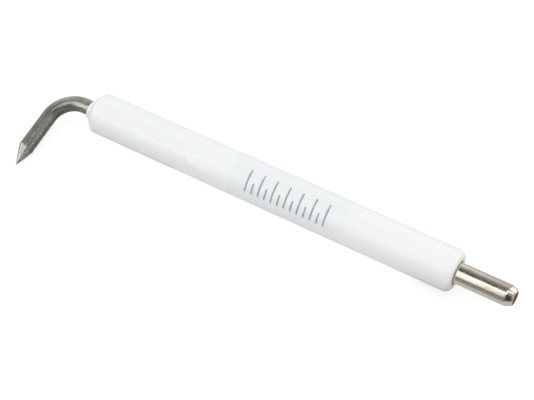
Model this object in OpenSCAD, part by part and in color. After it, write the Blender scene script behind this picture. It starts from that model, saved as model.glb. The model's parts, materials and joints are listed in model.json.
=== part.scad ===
// Ignition electrode for a burner: a bent, pointed alloy rod cemented into a glazed ceramic
// insulator, with a push-on terminal sleeve at the rod's other end.
//
// The origin is on the insulator's axis at the middle of its length. The axis lies along X, with
// the terminal towards +X. The rod's leg bends towards -Y and dips by the angle at which it just
// touches the surface that the insulator lies on, so the part is drawn as it rests on a table.

/* [Insulator] */
// Outer diameter of the ceramic insulator
insulator_d = 8; // [8:0.5:12]
// Length of the ceramic insulator
insulator_length = 76.5; // [60:0.5:150]
// Width of the 45 degree chamfer around the front end
front_chamfer = 1.1; // [0.3:0.1:1.6]
// Radius of the rounded edge around the rear end
rear_rounding = 1.2; // [0.3:0.1:1.5]
// Gap all round between the rod and its hole through the ceramic
rod_gap = 0.1; // [0.05:0.05:0.2]

/* [Electrode rod] */
// Diameter of the alloy rod
rod_d = 3; // [2.6:0.1:3.2]
// Straight length between the ceramic's front face and the bend
exit_length = 2.7; // [1.5:0.1:20]
// Radius of the bend at the rod's centreline
bend_radius = 4.9; // [4:0.1:10]
// Length of the leg from the end of the bend to the tip
leg_length = 12.2; // [10:0.1:30]
// Length of the ground point
point_length = 4.1; // [2:0.1:6]
// Distance of the tip from the rod's centreline, towards the inside of the bend
tip_offset = 0.4; // [0:0.05:0.5]
// Diameter of the small flat at the very tip
tip_d = 0.16; // [0.1:0.02:0.4]

/* [Terminal sleeve] */
// Diameter of the terminal that the lead's connector pushes onto
terminal_d = 4; // [4:0.05:4.2]
// Length of the terminal outside the ceramic
terminal_length = 11; // [8:0.5:20]
// Length of the tapered nose
nose_length = 1.2; // [0.3:0.05:1.5]
// Width of the taper across the nose, on each side
nose_taper = 0.5; // [0.2:0.05:0.65]
// Diameter of the hole along the sleeve
sleeve_bore_d = 2.4; // [1.8:0.1:2.4]
// Diameter of the turned-down shank that is cemented into the ceramic
shank_d = 3.6; // [3.4:0.1:3.8]
// Length of the rod's spigot beyond the ceramic's rear face
spigot_reach = 2; // [1:0.5:5]

/* [Cement] */
// Diameter of the socket in the ceramic's rear end
rear_socket_d = 4.6; // [4.5:0.1:4.8]
// Depth of the rear socket
rear_socket_depth = 8; // [5:0.5:15]
// Distance that the rear cement stays below the ceramic's face
rear_cement_drop = 0.5; // [0.2:0.1:1]
// Width of the cement ring around the rod
front_cement_width = 0.4; // [0.3:0.05:0.5]
// Depth of the front cement inside the ceramic
front_cement_depth = 1.5; // [1:0.1:4]
// Height of the cement bead outside the ceramic
bead_height = 0.9; // [0.5:0.1:1.4]

/* [Label] */
// Length of the clear label film around the insulator
label_length = 24; // [10:0.5:40]
// Distance of the film's middle from the insulator's middle, towards the terminal
label_shift = 4.9; // [-8:0.1:8]
// Thickness of the film
label_thickness = 0.05; // [0.04:0.01:0.2]

/* [Hidden] */

$fn = 64;

insulator_r = insulator_d / 2;
rod_r = rod_d / 2;
terminal_r = terminal_d / 2;
shank_r = shank_d / 2;
sleeve_bore_r = sleeve_bore_d / 2;
spigot_gap = 0.02;
spigot_r = sleeve_bore_r - spigot_gap;
rear_socket_r = rear_socket_d / 2;
front_cement_r = rod_r + front_cement_width;
cut = 1;

front_face = -insulator_length / 2;
rear_face = insulator_length / 2;
rear_socket_floor = rear_face - rear_socket_depth;
bend_start = front_face - exit_length;

// The tip's distance from the insulator's axis, and the dip at which the lower side of the leg,
// at the base of its point, comes level with the underside of the label film.
rest_height = insulator_r + label_thickness;
reach = bend_radius + leg_length;
point_base = reach - point_length;
dip = asin(rest_height / norm([point_base, rod_r])) - atan2(rod_r, point_base);

// Turns a shape that is drawn along Z to lie along X, with its base at the given x.
module along_x(x) {
    translate([x, 0, 0]) rotate([0, 90, 0]) children();
}

// A rectangle in a turning profile, from one radius to another and one height to another.
module band(inner, outer, low, high) {
    translate([inner, low]) square([outer - inner, high - low]);
}

module insulator_outline() {
    shoulder = insulator_length - rear_rounding;
    polygon([
        [0, 0],
        [insulator_r - front_chamfer, 0],
        [insulator_r, front_chamfer],
        [insulator_r, shoulder],
        [0, shoulder],
    ]);
    band(0, insulator_r - rear_rounding, shoulder - cut, insulator_length);
    translate([insulator_r - rear_rounding, shoulder]) circle(rear_rounding);
}

module insulator() {
    color([0.95, 0.96, 0.96])
    along_x(front_face)
    difference() {
        rotate_extrude() insulator_outline();
        translate([0, 0, -cut])
            cylinder(h = insulator_length + 2 * cut, r = rod_r + rod_gap);
        translate([0, 0, -cut])
            cylinder(h = front_cement_depth + cut, r = front_cement_r);
        translate([0, 0, insulator_length - rear_socket_depth])
            cylinder(h = rear_socket_depth + cut, r = rear_socket_r);
    }
}

// The leg lies along X from the end of the bend. Its point is ground a little out of centre.
module pointed_leg() {
    slope = (rod_r - tip_d / 2) / point_length;
    grinding_length = leg_length + cut;
    intersection() {
        along_x(0) cylinder(h = leg_length, r = rod_r);
        translate([leg_length, tip_offset, 0])
            rotate([0, 0, atan2(tip_offset, point_length)])
            rotate([0, -90, 0])
            cylinder(h = grinding_length, r1 = tip_d / 2, r2 = tip_d / 2 + slope * grinding_length);
    }
}

module electrode_rod() {
    color([0.46, 0.46, 0.43])
    rotate([dip, 0, 0]) {
        along_x(bend_start) cylinder(h = rear_socket_floor - bend_start, r = rod_r);
        along_x(rear_socket_floor - cut)
            cylinder(h = rear_socket_depth + spigot_reach + cut, r = spigot_r);
        translate([bend_start, -bend_radius, 0])
            rotate([0, 0, 90])
            rotate_extrude(angle = 90) translate([bend_radius, 0]) circle(rod_r);
        translate([bend_start - bend_radius, -bend_radius, 0])
            rotate([0, 0, -90])
            pointed_leg();
    }
}

module terminal_sleeve() {
    color([0.75, 0.73, 0.66])
    difference() {
        union() {
            along_x(rear_socket_floor) cylinder(h = rear_socket_depth, r = shank_r);
            along_x(rear_face) cylinder(h = terminal_length - nose_length, r = terminal_r);
            along_x(rear_face + terminal_length - nose_length)
                cylinder(h = nose_length, r1 = terminal_r, r2 = terminal_r - nose_taper);
        }
        along_x(rear_socket_floor - cut)
            cylinder(h = rear_socket_depth + terminal_length + 2 * cut, r = sleeve_bore_r);
    }
}

// A ring around the rod, with the outer edge of its bead rounded down to the rod.
module front_cement() {
    crown = bead_height - front_cement_width;
    color([0.97, 0.97, 0.96])
    along_x(front_face + front_cement_depth)
    rotate([180, 0, 0])
    rotate_extrude() {
        band(rod_r, front_cement_r, 0, front_cement_depth + crown);
        translate([rod_r, front_cement_depth + crown])
            intersection() {
                circle(front_cement_width);
                square(front_cement_width);
            }
    }
}

module rear_cement() {
    color([0.9, 0.89, 0.86])
    along_x(rear_socket_floor)
    rotate_extrude() band(shank_r, rear_socket_r, 0, rear_socket_depth - rear_cement_drop);
}

module label_film() {
    color([0.85, 0.9, 0.95, 0.4])
    along_x(label_shift - label_length / 2)
    rotate_extrude() band(insulator_r, insulator_r + label_thickness, 0, label_length);
}

insulator();
electrode_rod();
terminal_sleeve();
front_cement();
rear_cement();
label_film();
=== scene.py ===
"""Looks for the ignition electrode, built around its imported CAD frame. All lengths are in metres."""

import json
import math

import bpy
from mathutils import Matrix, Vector, noise


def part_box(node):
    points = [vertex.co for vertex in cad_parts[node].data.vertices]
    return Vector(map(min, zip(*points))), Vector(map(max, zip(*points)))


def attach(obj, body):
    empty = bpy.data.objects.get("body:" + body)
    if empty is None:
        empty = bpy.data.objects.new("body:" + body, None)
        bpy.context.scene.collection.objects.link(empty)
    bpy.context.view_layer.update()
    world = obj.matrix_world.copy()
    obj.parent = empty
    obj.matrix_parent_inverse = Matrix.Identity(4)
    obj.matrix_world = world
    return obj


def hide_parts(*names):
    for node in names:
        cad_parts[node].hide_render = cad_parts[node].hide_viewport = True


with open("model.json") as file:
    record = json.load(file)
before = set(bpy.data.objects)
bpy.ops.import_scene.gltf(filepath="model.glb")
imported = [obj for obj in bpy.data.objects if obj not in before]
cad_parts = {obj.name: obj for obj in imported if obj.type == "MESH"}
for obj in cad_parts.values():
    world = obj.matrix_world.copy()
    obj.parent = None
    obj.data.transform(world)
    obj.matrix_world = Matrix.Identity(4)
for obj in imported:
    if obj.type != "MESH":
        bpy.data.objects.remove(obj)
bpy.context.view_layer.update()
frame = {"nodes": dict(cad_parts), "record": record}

MM = 0.001

# ---------------------------------------------------------------- sizes, from the frame

mounts = {m["name"]: m for m in frame["record"]["mounts"]}
BARREL_R = mounts["insulator_barrel"]["dims"]["r_mm"] * MM
TERMINAL_R = mounts["terminal"]["dims"]["r_mm"] * MM

FRONT_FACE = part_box("insulator")[0].x
REAR_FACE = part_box("insulator")[1].x
TERMINAL_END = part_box("terminal_sleeve")[1].x
SOCKET_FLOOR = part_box("terminal_sleeve")[0].x
ROD_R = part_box("electrode_rod")[1].y
ROD_FAR_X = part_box("electrode_rod")[0].x
TIP_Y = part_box("electrode_rod")[0].y
SPIGOT_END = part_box("electrode_rod")[1].x
BEAD_LOW, BEAD_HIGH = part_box("front_cement")
BEAD_R = BEAD_HIGH.y
SEAL_LOW, SEAL_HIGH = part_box("rear_cement")
SOCKET_R = SEAL_HIGH.y
FILM_LOW, FILM_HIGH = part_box("label_film")
FILM_THICKNESS = FILM_HIGH.y - BARREL_R
REST_Z = FILM_LOW.z

# The middle of the rod's tip gives the direction of the leg, which dips from -Y towards the table.
TIP_DEPTH = 0.04 * MM
rod_points = [vertex.co for vertex in frame["nodes"]["electrode_rod"].data.vertices]
tip_points = [point for point in rod_points if point.y < TIP_Y + TIP_DEPTH]
TIP = sum(tip_points, Vector()) / len(tip_points)
REACH = math.hypot(TIP.y, TIP.z)
LEG_DIRECTION = Vector((0, TIP.y, TIP.z)).normalized()

# What the boxes can't tell.
FRONT_CHAMFER = 1.1 * MM
REAR_ROUNDING = 1.2 * MM
ROD_HOLE_R = 1.6 * MM
BEND_R = 4.9 * MM
POINT_LENGTH = 4.1 * MM
TIP_OFFSET = 0.4 * MM
TIP_R = 0.04 * MM
NOSE_LENGTH = 1.2 * MM
NOSE_TAPER = 0.5 * MM
SLEEVE_BORE_R = 1.2 * MM
SHANK_R = 1.8 * MM
SPIGOT_R = 1.18 * MM

EXIT_LENGTH = FRONT_FACE - ROD_FAR_X - ROD_R - BEND_R
LEG_LENGTH = REACH - BEND_R
BEND_LENGTH = BEND_R * math.pi / 2


# ---------------------------------------------------------------- mesh helpers

def rounded_outline(corners, step, arc_steps=6):
    """A closed outline through (x, r, rounding) corners, with no edge longer than step."""
    rounded = []
    for i, (x, r, rounding) in enumerate(corners):
        here = Vector((x, r))
        before = (Vector(corners[i - 1][:2]) - here).normalized()
        after = (Vector(corners[(i + 1) % len(corners)][:2]) - here).normalized()
        if rounding == 0:
            rounded.append(here)
            continue
        half_angle = before.angle(after) / 2
        start = here + before * rounding / math.tan(half_angle)
        end = here + after * rounding / math.tan(half_angle)
        centre = here + (before + after).normalized() * rounding / math.sin(half_angle)
        for k in range(arc_steps + 1):
            spoke = (start - centre).lerp(end - centre, k / arc_steps).normalized()
            rounded.append(centre + spoke * rounding)
    outline = []
    for i, here in enumerate(rounded):
        ahead = rounded[(i + 1) % len(rounded)]
        pieces = max(1, math.ceil((ahead - here).length / step))
        outline.extend(here.lerp(ahead, k / pieces) for k in range(pieces))
    return outline


def closed_grid_faces(rows, columns, close_rows):
    """Quads of a grid whose columns wrap round, and whose rows do too if close_rows."""
    faces = []
    for i in range(rows if close_rows else rows - 1):
        for j in range(columns):
            below = i * columns
            above = (i + 1) % rows * columns
            ahead = (j + 1) % columns
            faces.append((below + j, below + ahead, above + ahead, above + j))
    return faces


def make_piece(name, vertices, faces, materials, body="root"):
    """A smooth-shaded mesh object that rides on a CAD body."""
    mesh = bpy.data.meshes.new(name)
    mesh.from_pydata(vertices, [], faces)
    mesh.validate()
    mesh.update()
    mesh.polygons.foreach_set("use_smooth", [True] * len(mesh.polygons))
    for material in materials:
        mesh.materials.append(material)
    piece = bpy.data.objects.new(name, mesh)
    bpy.context.scene.collection.objects.link(piece)
    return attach(piece, body)


def add_vector_attribute(piece, name, values):
    attribute = piece.data.attributes.new(name, "FLOAT_VECTOR", "POINT")
    attribute.data.foreach_set("vector", [number for value in values for number in value])


def turned_piece(name, corners, materials, step=0.4 * MM, around=96, relief=None):
    """A ring turned about X from an outline. Its angle goes from +Y towards +Z.

    relief(x, r, angle) gives a point's shift in x and in r.
    """
    outline = rounded_outline(corners, step)
    vertices = []
    for x, r in outline:
        for j in range(around):
            angle = 2 * math.pi * j / around
            along, outwards = relief(x, r, angle) if relief else (0, 0)
            radius = r + outwards
            vertices.append((x + along, radius * math.cos(angle), radius * math.sin(angle)))
    faces = closed_grid_faces(len(outline), around, close_rows=True)
    return make_piece(name, vertices, faces, materials)


def ripple(x, angle, r, along, across, seed):
    """Smooth noise from -1 to 1 on a turned surface, with its grain's length along X and across it."""
    place = Vector((x / along, r * math.cos(angle) / across, r * math.sin(angle) / across))
    return noise.noise(place + Vector((seed, 0, 0)))


# ---------------------------------------------------------------- material helpers

class Shader:
    """A node material with short ways to add the nodes that the materials below share."""

    def __init__(self, name):
        self.material = bpy.data.materials.new(name)
        self.material.use_nodes = True
        self.tree = self.material.node_tree
        self.surface = self.tree.nodes["Principled BSDF"]

    def node(self, kind, **values):
        """A new node. Each value is a property or else an input, whose name has _ for a space."""
        made = self.tree.nodes.new(kind)
        for key, value in values.items():
            if hasattr(made, key):
                setattr(made, key, value)
            else:
                made.inputs[key.replace("_", " ")].default_value = value
        return made

    def link(self, source, target):
        self.tree.links.new(source, target)

    def set(self, **values):
        """Sets inputs of the surface, whose names have _ for a space."""
        for key, value in values.items():
            self.surface.inputs[key.replace("_", " ")].default_value = value

    def place(self, stretch, attribute=None):
        """Coordinates in millimetres divided by stretch, from the object or from a stored attribute."""
        if attribute:
            source = self.node("ShaderNodeAttribute", attribute_name=attribute).outputs["Vector"]
        else:
            source = self.node("ShaderNodeTexCoord").outputs["Object"]
        mapping = self.node("ShaderNodeMapping")
        mapping.inputs["Scale"].default_value = [1 / (MM * length) for length in stretch]
        self.link(source, mapping.inputs["Vector"])
        return mapping.outputs["Vector"]

    def noise(self, stretch, detail=4.0, roughness=0.5, attribute=None):
        """Noise from 0 to 1, with grains of about the given millimetres along X, Y and Z."""
        texture = self.node("ShaderNodeTexNoise", Scale=1.0, Detail=detail, Roughness=roughness)
        self.link(self.place(stretch, attribute), texture.inputs["Vector"])
        return texture.outputs["Fac"]

    def math(self, operation, *values):
        """A math node on sockets or plain numbers. Angles come out in degrees from DEGREES."""
        made = self.node("ShaderNodeMath", operation=operation)
        for socket, value in zip(made.inputs, values):
            if hasattr(value, "is_output"):
                self.link(value, socket)
            else:
                socket.default_value = value
        return made.outputs["Value"]

    def ramp(self, factor, stops):
        """Colours or greys at places from 0 to 1 along a factor."""
        ramp = self.node("ShaderNodeValToRGB")
        elements = ramp.color_ramp.elements
        while len(elements) < len(stops):
            elements.new(0.5)
        for element, (position, value) in zip(elements, stops):
            element.position = position
            colour = value if hasattr(value, "__len__") else (value, value, value)
            element.color = (*colour, 1)
        self.link(factor, ramp.inputs["Fac"])
        return ramp.outputs["Color"]

    def mix(self, factor, first, second, blend="MIX"):
        mixer = self.node("ShaderNodeMix", data_type="RGBA", blend_type=blend)
        for value, socket in ((factor, 0), (first, 6), (second, 7)):
            if hasattr(value, "is_output"):
                self.link(value, mixer.inputs[socket])
            elif hasattr(value, "__len__"):
                mixer.inputs[socket].default_value = (*value, 1)
            else:
                mixer.inputs[socket].default_value = value
        return mixer.outputs[2]

    def masked(self, value, mask):
        """The value where the mask is 1, fading to 0 where the mask is 0."""
        return self.mix(mask, (0, 0, 0), value)

    def bump(self, heights):
        """Bumps from (height, distance in millimetres) pairs, laid over each other."""
        normal = None
        for height, distance in heights:
            bump = self.node("ShaderNodeBump", Strength=1.0, Distance=distance * MM)
            self.link(height, bump.inputs["Height"])
            if normal:
                self.link(normal, bump.inputs["Normal"])
            normal = bump.outputs["Normal"]
        self.link(normal, self.surface.inputs["Normal"])
        return normal


def smear_and_highlight_edge(s, x, elevation):
    """From 0 to 1 across the edge of a leaf-shaped smear on the glaze, inwards, whose outline carries a
    painted highlight.

    Its tip points to the rod. It lies along X in millimetres and across X in degrees of elevation.
    """
    tip_x = -16.2
    length = 7.0
    middle = 42.0
    reach_at_length = 24.0
    unevenness = 26.0
    steepness = 0.05
    from_tip = s.math("DIVIDE", s.math("SUBTRACT", x, tip_x), length)
    half_width = s.math("MULTIPLY", s.math("SQRT", s.math("MAXIMUM", from_tip, 0.0)), reach_at_length)
    from_middle = s.math("ABSOLUTE", s.math("SUBTRACT", elevation, middle))
    uneven = s.math("SUBTRACT", s.noise((1.4, 1.4, 1.4), detail=3), 0.5)
    wobble = s.math("MULTIPLY", uneven, unevenness)
    inwards = s.math("SUBTRACT", s.math("SUBTRACT", half_width, from_middle), wobble)
    return s.math("ADD", s.math("MULTIPLY", inwards, steepness), 0.5)


def ceramic_place(s):
    """X in millimetres, elevation round the barrel in degrees from -Y, and share of the length."""
    place = s.node("ShaderNodeSeparateXYZ")
    s.link(s.place((1, 1, 1)), place.inputs["Vector"])
    x, y, z = (place.outputs[axis] for axis in "XYZ")
    elevation = s.math("DEGREES", s.math("ARCTAN2", z, s.math("MULTIPLY", y, -1.0)))
    along = s.math("ADD", s.math("DIVIDE", x, (REAR_FACE - FRONT_FACE) / MM), 0.5)
    return x, elevation, along


def glazed_ceramic():
    """White porcelain under a clear glaze with a faint orange peel, and a smear beside the label whose
    outline is a painted highlight.
    """
    s = Shader("glazed_ceramic")
    x, elevation, along = ceramic_place(s)

    smear_and_highlight = s.ramp(smear_and_highlight_edge(s, x, elevation), [(0.3, 0.0), (0.48, 0.8), (0.58, 0.8), (1.0, 0.15)])
    thickness = s.ramp(s.noise((1.2, 0.8, 0.8), detail=3), [(0.35, 0.1), (0.65, 1.0)])
    before_film = s.ramp(along, [(0.3, 1.0), (0.42, 0.0)])
    smear_rim_and_highlight = s.masked(s.masked(smear_and_highlight, thickness), before_film)

    front_end, front, rear = (0.87, 0.865, 0.895), (0.865, 0.885, 0.885), (0.89, 0.885, 0.885)
    body = s.ramp(along, [(0.0, front_end), (0.022, front), (1.0, rear)])
    clouds = s.noise((9, 1.3, 1.3), detail=4)
    body = s.mix(s.ramp(clouds, [(0.35, 0.0), (0.7, 0.5)]), body, (0.92, 0.935, 0.935))
    specks = s.ramp(s.noise((0.35, 0.35, 0.35), detail=2), [(0.74, 0.0), (0.8, 0.35)])
    body = s.mix(specks, body, (0.74, 0.72, 0.68))
    # Painted highlight: the smear's outline and inside are made lighter to stand in for gloss streaks, and
    # the same mask bumps the glaze.
    s.link(s.mix(smear_rim_and_highlight, body, (0.97, 0.975, 0.975)), s.surface.inputs["Base Color"])

    roughness = s.ramp(s.noise((3, 1.5, 1.5)), [(0.3, 0.36), (0.75, 0.5)])
    s.link(roughness, s.surface.inputs["Roughness"])
    s.set(IOR=1.48, Coat_Weight=0.12, Coat_Roughness=0.28)
    s.set(Subsurface_Weight=0.12, Subsurface_Scale=0.8 * MM)
    peel = s.noise((2.2, 1.1, 1.1), detail=1)
    grain = s.noise((0.25, 0.25, 0.25), detail=2)
    s.bump([(peel, 0.02), (grain, 0.002), (smear_rim_and_highlight, 0.01)])
    return s.material


def rod_place(s):
    """Where a point is on the rod, from the grain attribute, its place on the rod before it was bent.

    The first value goes from 0 on the bend's outer side to 1 on its inner side. The second goes from 0 at
    the ceramic's face to 1 a little past the end of the bend.
    """
    worked_length = 12
    place = s.node("ShaderNodeSeparateXYZ")
    s.link(s.place((2 * ROD_R / MM, 1, worked_length), attribute="grain"), place.inputs["Vector"])
    return s.math("ADD", place.outputs["X"], 0.5), place.outputs["Z"]


def drawn_metal(s, lines, mottle, inwards, along):
    """Grey oxide, with painted shade on the inner side where the rod leaves the bend, and a painted
    highlight on the outer side.
    """
    patches = s.noise((1.3, 1.3, 3.0), detail=3, attribute="grain")
    dark, grey, pale = (0.3, 0.295, 0.27), (0.45, 0.445, 0.415), (0.64, 0.635, 0.6)
    metal = s.ramp(mottle, [(0.32, dark), (0.5, grey), (0.68, pale)])
    metal = s.mix(s.ramp(lines, [(0.38, 0.65), (0.58, 0.0)]), metal, (0.19, 0.185, 0.165))
    metal = s.mix(s.ramp(patches, [(0.35, 0.4), (0.55, 0.0)]), metal, (0.24, 0.235, 0.215))
    # Painted shade: the inner side is darkened where the rod leaves the bend, standing in for the shade
    # under the bend.
    inner_side = s.ramp(inwards, [(0.35, 0.0), (0.6, 0.75)])
    leaving_bend = s.ramp(along, [(0.5, 0.0), (0.7, 1.0), (0.85, 1.0), (1.0, 0.1)])
    metal = s.mix(s.masked(inner_side, leaving_bend), metal, (0.2, 0.195, 0.18))
    # Painted highlight: the outer side from the ceramic round the bend is made paler, standing in for the
    # highlight there.
    outer_side = s.ramp(inwards, [(0.15, 0.8), (0.3, 1.0), (0.55, 0.3)])
    painted_bend_highlight = s.ramp(along, [(0.0, 0.5), (0.3, 0.45), (0.5, 0.9), (0.65, 0.7), (0.85, 0.0)])
    return s.mix(s.masked(painted_bend_highlight, outer_side), metal, (0.85, 0.84, 0.8))


def ground_metal(s, rings):
    """Bare metal with the rings that the grinding left on the point, and scuffs."""
    scuffs = s.noise((0.22, 0.22, 0.5), detail=4, roughness=0.6, attribute="grain")
    metal = s.ramp(rings, [(0.35, (0.42, 0.415, 0.39)), (0.65, (0.82, 0.815, 0.79))])
    return s.mix(s.ramp(scuffs, [(0.38, 0.6), (0.56, 0.0)]), metal, (0.3, 0.295, 0.27))


def rod_alloy():
    """Drawn iron-chromium-aluminium rod: mottled, with lines along it, and ground bare on its point."""
    s = Shader("rod_alloy")
    lines = s.noise((0.13, 0.13, 1.8), detail=6, roughness=0.65, attribute="grain")
    mottle = s.noise((0.35, 0.35, 0.7), detail=5, roughness=0.6, attribute="grain")
    rings = s.noise((1.0, 1.0, 0.1), detail=5, roughness=0.75, attribute="grain")
    on_point = s.node("ShaderNodeAttribute", attribute_name="on_point").outputs["Fac"]
    inwards, along = rod_place(s)
    drawn = drawn_metal(s, lines, mottle, inwards, along)
    s.link(s.mix(on_point, drawn, ground_metal(s, rings)), s.surface.inputs["Base Color"])

    smooth = s.ramp(along, [(0.0, 1.0), (0.75, 0.85), (1.0, 0.0)])
    roughness = s.mix(smooth, s.ramp(mottle, [(0.3, 0.42), (0.7, 0.26)]), (0.29, 0.29, 0.29))
    roughness = s.mix(on_point, roughness, (0.3, 0.3, 0.3))
    s.link(roughness, s.surface.inputs["Roughness"])
    s.set(Metallic=1.0)
    levelled = s.mix(0.25, (0.5, 0.5, 0.5), mottle)
    s.bump([(s.mix(smooth, mottle, levelled), 0.07), (s.mix(on_point, lines, rings), 0.025)])
    return s.material


def nickel_plate():
    """Bright nickel on brass, with faint lines from drawing and a few dull stains."""
    s = Shader("nickel_plate")
    lines = s.noise((6, 0.12, 0.12), detail=5, roughness=0.6)
    stains = s.noise((1.5, 0.8, 0.8), detail=5, roughness=0.6)
    clean = s.mix(lines, (0.7, 0.655, 0.57), (0.78, 0.74, 0.665))
    dullness = s.ramp(stains, [(0.55, 0.0), (0.75, 0.5)])
    s.link(s.mix(dullness, clean, (0.5, 0.42, 0.33)), s.surface.inputs["Base Color"])
    s.link(s.ramp(stains, [(0.35, 0.1), (0.75, 0.2)]), s.surface.inputs["Roughness"])
    s.set(Metallic=1.0)
    s.bump([(lines, 0.006), (stains, 0.012)])
    return s.material


def bare_brass():
    """The drilled brass inside the sleeve, painted dark as shade inside the bore."""
    s = Shader("bare_brass")
    rings = s.noise((0.12, 1.0, 1.0), detail=4)
    s.link(s.mix(rings, (0.13, 0.09, 0.055), (0.3, 0.22, 0.14)), s.surface.inputs["Base Color"])
    s.set(Metallic=0.6, Roughness=0.55)
    s.bump([(rings, 0.02)])
    return s.material


def cement():
    """Fired white cement with a grainy, slightly porous surface."""
    s = Shader("cement")
    grain = s.noise((0.12, 0.12, 0.12), detail=6, roughness=0.7)
    lumps = s.noise((0.6, 0.6, 0.6), detail=3)
    colour = s.ramp(grain, [(0.3, (0.88, 0.87, 0.9)), (0.6, (0.96, 0.955, 0.97))])
    s.link(colour, s.surface.inputs["Base Color"])
    s.set(Roughness=0.6)
    s.bump([(lumps, 0.06), (grain, 0.015)])
    return s.material


def film_gloss(s):
    """The film's own gloss, with its strength, which grows towards the film's outline."""
    gloss = s.node("ShaderNodeBsdfGlossy", Roughness=0.2)
    waves = s.noise((2.5, 1.2, 1.2), detail=3)
    normal = s.bump([(waves, 0.03)])
    s.link(normal, gloss.inputs["Normal"])
    facing = s.node("ShaderNodeLayerWeight", Blend=0.5)
    s.link(normal, facing.inputs["Normal"])
    strength = s.ramp(facing.outputs["Facing"], [(0.0, 0.006), (0.6, 0.014), (0.85, 0.04), (1.0, 0.25)])
    return gloss.outputs["BSDF"], strength


def clear_film(glossy):
    """Thin clear film that shows what is under it. Its outer side has a gloss, and its inner side none."""
    s = Shader("clear_film" if glossy else "clear_film_inside")
    clear = s.node("ShaderNodeBsdfTransparent", Color=(0.994, 0.996, 1, 1)).outputs["BSDF"]
    if glossy:
        gloss, strength = film_gloss(s)
        both = s.node("ShaderNodeMixShader")
        s.link(strength, both.inputs["Fac"])
        s.link(clear, both.inputs[1])
        s.link(gloss, both.inputs[2])
        clear = both.outputs["Shader"]
    s.link(clear, s.tree.nodes["Material Output"].inputs["Surface"])
    s.tree.nodes.remove(s.surface)
    return s.material


def print_ink():
    """Grey-blue ink from a marking pen, thin in places."""
    s = Shader("print_ink")
    cover = s.noise((0.25, 0.25, 0.25), detail=4)
    colour = s.ramp(cover, [(0.3, (0.24, 0.26, 0.3)), (0.7, (0.5, 0.53, 0.6))])
    s.link(colour, s.surface.inputs["Base Color"])
    s.link(s.ramp(cover, [(0.3, 0.45), (0.7, 0.7)]), s.surface.inputs["Roughness"])
    s.bump([(cover, 0.005)])
    return s.material


# ---------------------------------------------------------------- pieces

def make_insulator():
    glaze_depth = 0.014 * MM
    wave_length = 3.5 * MM
    wave_width = 2.2 * MM
    bore_limit = BARREL_R * 0.6

    def glaze(x, r, angle):
        """The glaze is a little uneven all over the outside."""
        if r < bore_limit:
            return 0, 0
        return 0, glaze_depth * (ripple(x, angle, r, wave_length, wave_width, seed=3) - 0.5)

    corners = [
        (FRONT_FACE, BEAD_R, 0.08 * MM),
        (FRONT_FACE, BARREL_R - FRONT_CHAMFER, 0.25 * MM),
        (FRONT_FACE + FRONT_CHAMFER, BARREL_R, 0.35 * MM),
        (REAR_FACE, BARREL_R, REAR_ROUNDING),
        (REAR_FACE, SOCKET_R, 0.12 * MM),
        (SOCKET_FLOOR, SOCKET_R, 0),
        (SOCKET_FLOOR, ROD_HOLE_R, 0),
        (BEAD_HIGH.x, ROD_HOLE_R, 0),
        (BEAD_HIGH.x, BEAD_R, 0),
    ]
    piece = turned_piece("insulator_glazed", corners, [glazed_ceramic()], relief=glaze)
    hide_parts("insulator")


def make_terminal_sleeve():
    nose_start = TERMINAL_END - NOSE_LENGTH
    lip_start = TERMINAL_END - 0.3 * MM
    lip_r = TERMINAL_R - NOSE_TAPER * (lip_start - nose_start) / NOSE_LENGTH
    rim_r = lip_r - 0.22 * MM
    mouth_r = SLEEVE_BORE_R + 0.13 * MM
    corners = [
        (SOCKET_FLOOR, SHANK_R, 0),
        (REAR_FACE, SHANK_R, 0),
        (REAR_FACE, TERMINAL_R, 0.05 * MM),
        (nose_start, TERMINAL_R, 0.9 * MM),
        (lip_start, lip_r, 0.25 * MM),
        (TERMINAL_END, rim_r, 0.12 * MM),
        (TERMINAL_END, mouth_r, 0.02 * MM),
        (lip_start, SLEEVE_BORE_R, 0.04 * MM),
        (SOCKET_FLOOR, SLEEVE_BORE_R, 0),
    ]
    piece = turned_piece("terminal_sleeve_plated", corners, [nickel_plate(), bare_brass()])
    for polygon in piece.data.polygons:
        across = math.hypot(polygon.center.y, polygon.center.z)
        polygon.material_index = int(across < mouth_r)
    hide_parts("terminal_sleeve")


def make_front_cement(material):
    sag = 0.5 * MM
    lump_size = 0.9 * MM
    lump_height = 0.1 * MM
    thick_side = math.radians(205)

    def lumps(x, r, angle):
        """The bead was put on by hand: uneven, and thickest towards the side that the rod bends to."""
        if x > FRONT_FACE:
            return 0, 0
        out_of_face = (FRONT_FACE - x) / (FRONT_FACE - BEAD_LOW.x)
        slump = 0.5 + 0.5 * math.cos(angle - thick_side)
        along = -sag * slump * out_of_face
        if r < ROD_R + 0.05 * MM:
            return along, 0
        outwards = lump_height * (ripple(x, angle, r, lump_size, lump_size, seed=7) + 0.6 * slump)
        return along + 0.3 * outwards, outwards

    corners = [
        (BEAD_LOW.x, ROD_R, 0),
        (BEAD_LOW.x, BEAD_R, (BEAD_R - ROD_R) * 0.9),
        (BEAD_HIGH.x, BEAD_R, 0),
        (BEAD_HIGH.x, ROD_R, 0),
    ]
    bead = turned_piece("front_cement_bead", corners, [material], step=0.1 * MM, relief=lumps)
    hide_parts("front_cement")


def make_rear_cement(material):
    corners = [
        (SEAL_LOW.x, SHANK_R, 0),
        (SEAL_HIGH.x, SHANK_R, 0),
        (SEAL_HIGH.x, SOCKET_R, 0),
        (SEAL_LOW.x, SOCKET_R, 0),
    ]
    seal = turned_piece("rear_cement_ring", corners, [material], step=0.25 * MM)
    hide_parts("rear_cement")


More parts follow.
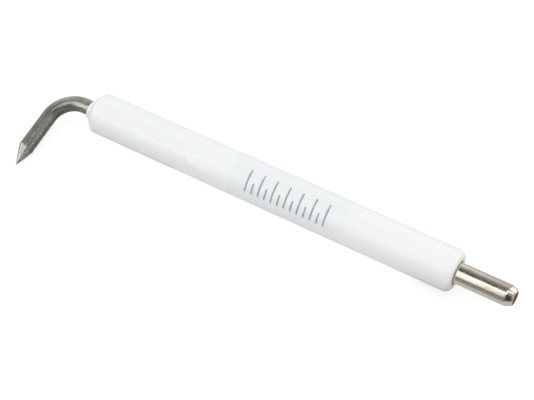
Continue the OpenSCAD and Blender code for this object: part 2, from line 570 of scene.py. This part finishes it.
def rod_frame(s):
    """The rod's centre, the way to the bend's inside and how far the rod has turned, in radians, at a
    distance s along the rod from the ceramic's front face."""
    turned = min(max((s - EXIT_LENGTH) / BEND_R, 0), math.pi / 2)
    inside = LEG_DIRECTION * math.cos(turned) + Vector((1, 0, 0)) * math.sin(turned)
    bend_centre = Vector((FRONT_FACE - EXIT_LENGTH, 0, 0)) + LEG_DIRECTION * BEND_R
    centre = bend_centre - inside * BEND_R
    if s < EXIT_LENGTH:
        centre.x = FRONT_FACE - s
    beyond = s - EXIT_LENGTH - BEND_LENGTH
    if beyond > 0:
        centre += LEG_DIRECTION * beyond
    return centre, inside, turned


def rod_section(to_tip, turned, angle):
    """The radius before grinding: thinner on the bend's outer side and flatter on the leg's inner side."""
    socket_floor_to_tip = EXIT_LENGTH + BEND_LENGTH + LEG_LENGTH + (SOCKET_FLOOR - FRONT_FACE)
    if to_tip > socket_floor_to_tip:
        return SPIGOT_R
    bending = math.sin(2 * turned)
    past_bend = min(max(turned / math.radians(30) - 2, 0), 1)
    flat_side = math.radians(-24)
    stretched = 0.035 * bending * max(-math.cos(angle), 0) ** 2
    flattened = 0.12 * past_bend * max(math.cos(angle - flat_side), 0) ** 2
    return ROD_R * (1 - stretched - flattened)


def ground_section(to_tip, rod_radius, angle):
    """The middle's shift to the bend's inside, and how far the rod's side and the cone are from it."""
    bulge = 0.1
    share = min(to_tip / POINT_LENGTH, 2)
    cone_radius = TIP_R + (ROD_R - TIP_R) * share * (1 + bulge - bulge * share)
    cone_middle = TIP_OFFSET * (1 - share)
    middle = max(cone_middle, 0)
    shift = cone_middle - middle
    to_side = -middle * math.cos(angle) + math.sqrt(rod_radius**2 - (middle * math.sin(angle)) ** 2)
    to_cone = shift * math.cos(angle) + math.sqrt(cone_radius**2 - (shift * math.sin(angle)) ** 2)
    return middle, to_side, to_cone


def rod_stations(rod_end):
    """Distances of the rod's sections: close together outside the ceramic, and only at steps inside it."""
    ledge = 0.001 * MM
    spacing = 0.14 * MM
    hidden = BEAD_HIGH.x - FRONT_FACE
    spigot_start = FRONT_FACE - SOCKET_FLOOR
    count = math.ceil((rod_end + hidden) / spacing)
    shown = [-hidden + (rod_end + hidden) * k / count for k in range(1, count + 1)]
    return [FRONT_FACE - SPIGOT_END, spigot_start - ledge, spigot_start, -hidden] + shown


def make_electrode_rod():
    around = 96
    groove_depth = 0.012 * MM
    groove_length = 4 * MM
    groove_density = 9
    edge_width = 0.03 * MM
    rod_end = EXIT_LENGTH + BEND_LENGTH + LEG_LENGTH
    down = Vector((1, 0, 0)).cross(LEG_DIRECTION).normalized()
    stations = rod_stations(rod_end)

    vertices, grain, on_point = [], [], []
    for s in stations:
        centre, inside, turned = rod_frame(s)
        for j in range(around):
            angle = 2 * math.pi * j / around
            across = Vector((math.cos(angle), math.sin(angle), 0)) * groove_density
            groove = abs(noise.noise(across + Vector((0, 0, s / groove_length))))
            radius = rod_section(rod_end - s, turned, angle) - groove_depth * groove
            middle, to_side, to_cone = ground_section(rod_end - s, radius, angle)
            on_point.append(min(max((to_side - to_cone) / edge_width, 0), 1))
            spoke = inside * math.cos(angle) + down * math.sin(angle)
            vertices.append(centre + inside * middle + spoke * min(to_side, to_cone))
            grain.append((ROD_R * math.cos(angle), ROD_R * math.sin(angle), s))
    faces = closed_grid_faces(len(stations), around, close_rows=False)
    faces.append(tuple(range(around)))
    faces.append(tuple(reversed(range(len(vertices) - around, len(vertices)))))
    piece = make_piece("electrode_rod_drawn", vertices, faces, [rod_alloy()])
    add_vector_attribute(piece, "grain", grain)
    attribute = piece.data.attributes.new("on_point", "FLOAT", "POINT")
    attribute.data.foreach_set("value", on_point)
    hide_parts("electrode_rod")


def make_label_film():
    """A film wrapped once round the barrel. Its outer end laps over its inner end on the far side."""
    lap_start = math.radians(20)
    lap_end = math.radians(40)
    lap_rise = FILM_THICKNESS * 0.9
    glue = 0.004 * MM
    inner_r = BARREL_R + glue
    outer_r = BARREL_R + FILM_THICKNESS
    glossy_from = BARREL_R + FILM_THICKNESS * 0.7
    left_skew = 0.35 * MM
    right_skew = 0.3 * MM
    left_waver = 0.12 * MM
    right_waver = 0.1 * MM

    def lay(x, r, angle):
        """The cut edges are a little out of square, and the film is double at its lap."""
        share = (x - FILM_LOW.x) / (FILM_HIGH.x - FILM_LOW.x)
        round_place = Vector((2 * math.cos(angle), 2 * math.sin(angle), 0))
        left = left_skew * (1 + math.sin(angle - 1.2)) + left_waver * noise.noise(round_place)
        right = right_skew * (1 + math.cos(angle)) + right_waver * noise.noise(-round_place)
        lapped = lap_start < angle < lap_end and r > inner_r
        return left * (1 - share) - right * share, lap_rise if lapped else 0

    corners = [
        (FILM_LOW.x, inner_r, 0),
        (FILM_LOW.x, outer_r, 0),
        (FILM_HIGH.x, outer_r, 0),
        (FILM_HIGH.x, inner_r, 0),
    ]
    materials = [clear_film(glossy=True), clear_film(glossy=False)]
    piece = turned_piece("label_film_clear", corners, materials, step=0.5 * MM, around=240, relief=lay)
    for polygon in piece.data.polygons:
        across = math.hypot(polygon.center.y, polygon.center.z)
        polygon.material_index = int(across < glossy_from)
    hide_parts("label_film")


def tick_mesh(x, low, top, seed, first_index):
    """Vertices and faces of one tick on the film: a thin stroke round the barrel with blunt ends."""
    half_width = 0.135 * MM
    height = 0.006 * MM
    steps = 24
    surface_r = BARREL_R + FILM_THICKNESS
    vertices = []
    for i in range(steps + 1):
        share = i / steps
        elevation = low + (top - low) * share
        bluntness = math.sqrt(max(1 - (2 * abs(share - 0.5)) ** 12, 0.0))
        pressure = 1 + 0.25 * noise.noise(Vector((share * 5, seed * 3, 0)))
        half = half_width * bluntness * pressure
        for side, lift in ((-1, 0), (-1, 1), (1, 1), (1, 0)):
            radius = surface_r + height * lift
            y, z = -radius * math.cos(elevation), radius * math.sin(elevation)
            vertices.append((x + side * half, y, z))
    ends = [(0, 3, 2, 1), tuple(steps * 4 + k for k in range(4))]
    sides = closed_grid_faces(steps + 1, 4, close_rows=False)
    return vertices, [tuple(first_index + k for k in face) for face in sides + ends]


def make_print_mark():
    """A plain row of ticks on the film, long and short by turns, in place of the printed number."""
    first, last = -3.0 * MM, 13.2 * MM
    low, high = math.radians(17), math.radians(80)
    ticks = 13
    vertices, faces = [], []
    for t in range(ticks):
        x = first + (last - first) * t / (ticks - 1)
        top = high if t % 2 == 0 else (low + high) / 2
        tick_vertices, tick_faces = tick_mesh(x, low, top, t, len(vertices))
        vertices += tick_vertices
        faces += tick_faces
    piece = make_piece("print_mark", vertices, faces, [print_ink()])


# ---------------------------------------------------------------- studio

def stage_plane(name, corners, material):
    """A flat four-cornered sheet that belongs to the studio and not to the object."""
    mesh = bpy.data.meshes.new(name)
    mesh.from_pydata(corners, [], [(0, 1, 2, 3)])
    mesh.materials.append(material)
    plane = bpy.data.objects.new(name, mesh)
    bpy.context.scene.collection.objects.link(plane)
    return plane


def reflection_card(name, corners, radiance):
    """A card that shows only in reflections: it neither lights nor shades anything."""
    s = Shader(name)
    s.set(Base_Color=(0, 0, 0, 1), Emission_Color=(1, 0.99, 0.96, 1), Emission_Strength=radiance)
    s.surface.inputs["Specular IOR Level"].default_value = 0
    card = stage_plane(name, corners, s.material)
    card.visible_camera = False
    card.visible_diffuse = False
    card.visible_transmission = False
    card.visible_shadow = False


def upright_x(x, near, far, top):
    """Corners of an upright card that faces along X, from the floor up."""
    return [(x, near, REST_Z), (x, far, REST_Z), (x, far, top), (x, near, top)]


def upright_y(y, left, right, low, top):
    """Corners of an upright card that faces along Y."""
    return [(left, y, low), (right, y, low), (right, y, top), (left, y, top)]


def level(z, left, right, near, far):
    """Corners of a level card."""
    return [(left, near, z), (right, near, z), (right, far, z), (left, far, z)]


def by_ray(tree, kind, others, chosen):
    """Mixes two shaders, so that one kind of ray sees the second and all others see the first."""
    path = tree.nodes.new("ShaderNodeLightPath")
    mixer = tree.nodes.new("ShaderNodeMixShader")
    tree.links.new(path.outputs[kind], mixer.inputs["Fac"])
    tree.links.new(others, mixer.inputs[1])
    tree.links.new(chosen, mixer.inputs[2])
    return mixer.outputs["Shader"]


def make_floor():
    """A pale floor with a glow of its own, so that shadows on it stay faint.

    What it throws onto the object is weaker near the rear end, whose underside is greyer.
    """
    reach = 3.0
    s = Shader("floor_white")
    s.set(Base_Color=(0.4, 0.4, 0.4, 1), Roughness=0.9)
    s.set(Emission_Color=(1, 1, 1, 1), Emission_Strength=0.73)
    s.surface.inputs["Specular IOR Level"].default_value = 0
    under_rear = s.node("ShaderNodeVectorMath", operation="DISTANCE")
    s.link(s.place((1, 1, 1)), under_rear.inputs[0])
    under_rear.inputs[1].default_value = (REAR_FACE / MM, -0.6 * BARREL_R / MM, REST_Z / MM)
    darkened_reach = 20
    away = s.math("DIVIDE", under_rear.outputs["Value"], darkened_reach)
    bounced = s.node("ShaderNodeEmission", Strength=1.0)
    glow = s.ramp(away, [(0.15, (0.04, 0.04, 0.04)), (0.6, (0.71, 0.72, 0.71))])
    s.link(glow, bounced.inputs["Color"])
    reflected = s.node("ShaderNodeEmission", Color=(1, 0.985, 0.95, 1), Strength=0.66)
    unseen = by_ray(s.tree, "Is Glossy Ray", bounced.outputs["Emission"], reflected.outputs["Emission"])
    shader = by_ray(s.tree, "Is Camera Ray", unseen, s.surface.outputs["BSDF"])
    s.link(shader, s.tree.nodes["Material Output"].inputs["Surface"])
    stage_plane("floor", level(REST_Z - 0.02 * MM, -reach, reach, -reach, reach), s.material)


def make_world():
    """Even soft light from all round, dimmer in reflections."""
    world = bpy.data.worlds.new("studio")
    world.use_nodes = True
    tree = world.node_tree
    light = tree.nodes["Background"]
    light.inputs["Color"].default_value = (0.985, 1, 0.995, 1)
    light.inputs["Strength"].default_value = 0.93
    reflected = tree.nodes.new("ShaderNodeBackground")
    reflected.inputs["Color"].default_value = (1, 0.985, 0.95, 1)
    reflected.inputs["Strength"].default_value = 0.46
    shader = by_ray(tree, "Is Glossy Ray", light.outputs["Background"], reflected.outputs["Background"])
    tree.links.new(shader, tree.nodes["World Output"].inputs["Surface"])
    bpy.context.scene.world = world


def area_light(name, direction, distance, size, power):
    """A square lamp that faces the object's middle from a direction and leaves no reflection."""
    data = bpy.data.lights.new(name, "AREA")
    data.size = size
    data.energy = power
    lamp = bpy.data.objects.new(name, data)
    lamp.location = Vector(direction).normalized() * distance
    lamp.rotation_euler = Vector(direction).to_track_quat("Z", "Y").to_euler()
    bpy.context.scene.collection.objects.link(lamp)
    lamp.visible_camera = False
    lamp.visible_glossy = False


def make_studio():
    bpy.context.scene.view_settings.view_transform = "Standard"
    make_floor()
    make_world()
    area_light("overhead", (-0.2, 0.1, 1), 0.8, 0.7, 0.8)
    area_light("rear_right", (1, 0.3, 0.3), 0.3, 0.15, 0.05)

    # Each card's place is in metres, and its last number is its radiance, beside 0.46 for the world.
    softbox_y = -0.45
    softbox_low = 0.098
    softbox_top = 1.35
    overhead = 0.4
    reflection_card("softbox_front", upright_y(softbox_y, -0.6, -0.05, softbox_low, softbox_top), 1.5)
    reflection_card("softbox_left", upright_x(-0.5, softbox_y, 0.0, 0.4), 1.4)
    reflection_card("softbox_back", upright_y(0.35, -0.17, -0.03, REST_Z, 0.34), 0.95)
    reflection_card("softbox_above_bend", level(overhead, 0.005, 0.11, -0.3, 0.05), 2.4)
    reflection_card("softbox_nose_top", level(0.45, 0.27, 0.55, -0.03, 0.14), 1.4)
    reflection_card("softbox_nose_back", upright_y(0.06, 0.06, 0.14, REST_Z, 0.12), 1.4)
    reflection_card("softbox_nose_right", upright_x(0.3, -0.04, 0.2, 0.06), 1.3)
    reflection_card("dark_overhead", level(overhead, -0.35, 0.0, -0.13, 0.06), 0.08)
    reflection_card("dim_overhead", level(overhead, -0.15, 0.0, 0.06, 0.2), 0.23)
    reflection_card("softbox_overhead_left", level(overhead, -0.4, -0.19, 0.04, 0.2), 0.8)
    reflection_card("dim_above_ceramic", level(0.04, -0.03, 0.02, -0.02, 0.003), 0.1)
    reflection_card("dark_front_low", upright_y(softbox_y, -0.6, 0.0, REST_Z, softbox_low), 0.22)
    reflection_card("dark_front_right", upright_y(softbox_y, 0.0, 0.6, REST_Z, 1.2), 0.07)
    reflection_card("dark_floor_front", level(REST_Z, -0.6, 0.05, softbox_y, -0.009), 0.33)
    reflection_card("dark_floor_right", level(REST_Z, 0.05, 0.6, softbox_y, -0.015), 0.1)
    # A painted shadow: a dark sheet under the bend that stands in for the shade there, seen only in the
    # rod's reflections.
    reflection_card("painted_shadow_under_bend", level(REST_Z, -0.0435, -0.02, -0.022, -0.0018), 0.2)


def make_camera():
    """The camera looks at a point near the object's middle from the left front, well above it."""
    azimuth = math.radians(30.69)
    elevation = math.radians(49.43)
    distance = 0.28637
    target = Vector((1.06 * MM, -2.64 * MM, 0))
    backwards = Vector(
        (
            math.sin(azimuth) * math.cos(elevation),
            -math.cos(azimuth) * math.cos(elevation),
            math.sin(elevation),
        )
    )
    data = bpy.data.cameras.new("camera")
    data.sensor_width = 36.0
    data.lens = 106.36
    data.clip_start = 0.01
    camera = bpy.data.objects.new("camera", data)
    camera.location = target + backwards * distance
    camera.rotation_euler = backwards.to_track_quat("Z", "Y").to_euler()
    bpy.context.scene.collection.objects.link(camera)
    bpy.context.scene.camera = camera


make_camera()
make_insulator()
make_electrode_rod()
make_terminal_sleeve()
fired_cement = cement()
make_front_cement(fired_cement)
make_rear_cement(fired_cement)
make_label_film()
make_print_mark()
make_studio()
